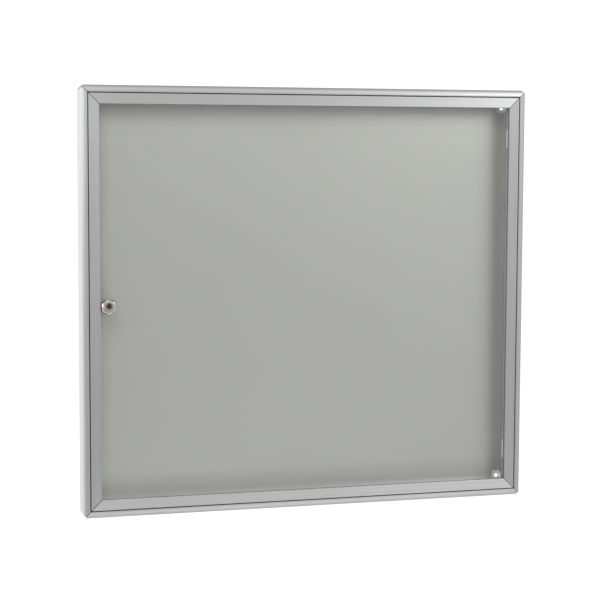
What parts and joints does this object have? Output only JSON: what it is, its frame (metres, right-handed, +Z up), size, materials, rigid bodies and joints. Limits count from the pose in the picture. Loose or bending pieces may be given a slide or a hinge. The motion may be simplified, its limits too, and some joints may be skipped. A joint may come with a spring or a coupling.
{
  "type": "lockable notice board",
  "caption": "Shallow wall case with a rounded aluminium frame, a magnetic back panel and a side-hinged glazed door that is closed by a cylinder lock in the pane.",
  "frame": {"origin": "centre of the four wall holes, on the back panel's back face; the wall is 3 mm further on, at the case's back edge", "axes": "+X to the right seen from the front, +Y into the wall, +Z up"},
  "size_m": [0.727, 0.0404, 0.667],
  "materials": {
    "frame_aluminium": "satin, clear anodised",
    "corner_key_cast": "die cast, fine matt",
    "door_key_aluminium": "sawn from an extrusion",
    "panel_enamel": "smooth satin coating on magnetic steel sheet",
    "retainer_aluminium": "mill finish",
    "rivet_aluminium": "plain",
    "bracket_steel": "galvanised",
    "seal_rubber": "matt",
    "gasket_rubber": "matt",
    "pane_clear": "clear, polished",
    "pin_steel": "drawn stainless",
    "screw_steel": "zinc plated",
    "hinge_steel": "stainless",
    "lock_nickel": "nickel plated, slightly warm",
    "plug_nickel": "nickel plated, slightly warm",
    "lock_zinc": "zinc die casting",
    "bolt_steel": "zinc plated",
    "washer_plastic": "matt"
  },
  "bodies": {
    "case": {"back_panel": "panel_enamel", "bracket_rivets": "rivet_aluminium", "case_corner_key_bl": "corner_key_cast", "case_corner_key_br": "corner_key_cast", "case_corner_key_tl": "corner_key_cast", "case_corner_key_tr": "corner_key_cast", "case_key_screws": "screw_steel", "case_rail_bottom": "frame_aluminium", "case_rail_top": "frame_aluminium", "case_stile_left": "frame_aluminium", "case_stile_right": "frame_aluminium", "door_seal_bottom": "seal_rubber", "door_seal_left": "seal_rubber", "door_seal_right": "seal_rubber", "door_seal_top": "seal_rubber", "hinge_case_leaf_lower": "hinge_steel", "hinge_case_leaf_upper": "hinge_steel", "hinge_case_screws": "screw_steel", "panel_retainer_bottom": "retainer_aluminium", "panel_retainer_left": "retainer_aluminium", "panel_retainer_right": "retainer_aluminium", "panel_retainer_top": "retainer_aluminium", "retainer_rivets": "rivet_aluminium", "wall_bracket_br": "bracket_steel", "wall_bracket_tr": "bracket_steel"},
    "door": {"door_corner_key_bl": "door_key_aluminium", "door_corner_key_br": "door_key_aluminium", "door_corner_key_tl": "door_key_aluminium", "door_corner_key_tr": "door_key_aluminium", "door_rail_bottom": "frame_aluminium", "door_rail_top": "frame_aluminium", "door_stile_left": "frame_aluminium", "door_stile_right": "frame_aluminium", "glazing_gasket_bottom": "gasket_rubber", "glazing_gasket_left": "gasket_rubber", "glazing_gasket_right": "gasket_rubber", "glazing_gasket_top": "gasket_rubber", "hinge_door_leaf_lower": "hinge_steel", "hinge_door_leaf_upper": "hinge_steel", "hinge_door_screws": "screw_steel", "hinge_pin_lower": "pin_steel", "hinge_pin_upper": "pin_steel", "lock_barrel": "lock_nickel", "lock_case": "lock_zinc", "lock_cover": "lock_zinc", "lock_cover_screws": "screw_steel", "lock_nut": "lock_nickel", "lock_washer_back": "washer_plastic", "lock_washer_front": "washer_plastic", "pane": "pane_clear"},
    "lock_plug_body": {"lock_plug": "plug_nickel"},
    "lock_bolt_body": {"lock_bolt": "bolt_steel"}
  },
  "joints": [
    {"name": "door_hinge", "type": "hinge", "parent": "case", "child": "door", "pos_m": [0.3445, -0.0297, 0], "axis": [0, 0, 1], "range_deg": [0, 95]},
    {"name": "lock_plug_turn", "type": "hinge", "parent": "door", "child": "lock_plug_body", "pos_m": [-0.322, -0.0371, -0.0035], "axis": [0, -1, 0], "range_deg": [0, 90]},
    {"name": "lock_bolt_slide", "type": "slide", "parent": "door", "child": "lock_bolt_body", "axis": [-1, 0, 0], "range_m": [0, 0.0065]}
  ],
  "couplings": [
    {"joint": "lock_bolt_slide", "follows": "lock_plug_turn", "m_per_rad": 0.004138}
  ]
}
